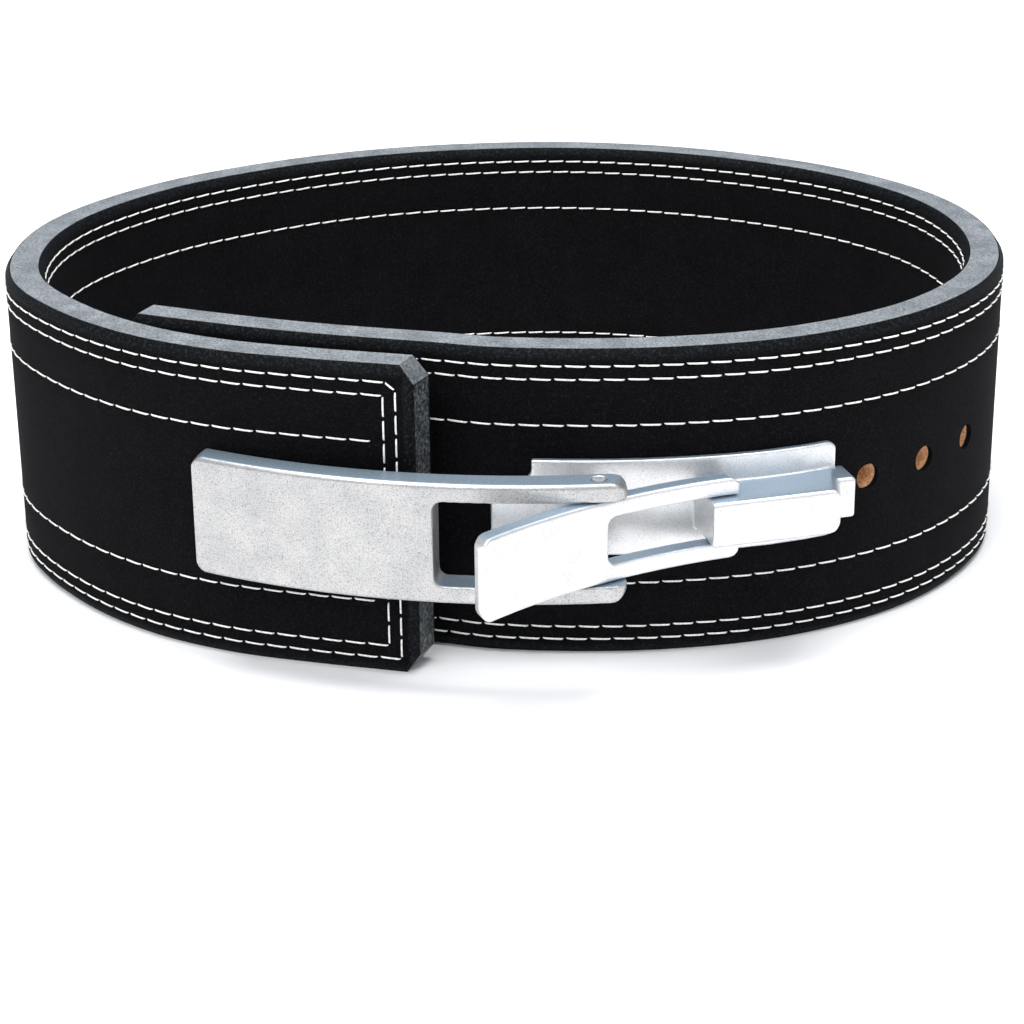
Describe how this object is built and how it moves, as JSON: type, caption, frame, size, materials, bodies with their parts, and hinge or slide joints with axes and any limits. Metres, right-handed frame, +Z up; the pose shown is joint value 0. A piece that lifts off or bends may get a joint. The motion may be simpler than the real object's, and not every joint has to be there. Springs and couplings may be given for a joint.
{
  "type": "weightlifting belt with lever buckle",
  "caption": "Wide stiff leather weightlifting belt with suede faces, a row of adjustment holes and a cast metal lever buckle, shown fastened.",
  "frame": {"origin": "under the middle of the whole belt, on the surface that it stands on", "axes": "+X across the belt to the right of the buckle as it is looked at, +Y from the buckle to the back of the loop, +Z up"},
  "size_m": [0.3424, 0.3124, 0.1016],
  "materials": {
    "core_leather": "burnished edge",
    "suede": "napped suede",
    "cast_nickel": "satin nickel plate on cast steel",
    "steel": "plain"
  },
  "bodies": {
    "root": {"leather_core": "core_leather", "outer_suede": "suede", "inner_suede": "suede", "lever_plate": "cast_nickel", "claw": "cast_nickel", "base_plate": "cast_nickel", "hinge_pin": "steel", "lever_screw_1": "steel", "lever_screw_2": "steel", "base_screw_1": "steel", "base_screw_2": "steel"}
  },
  "joints": []
}
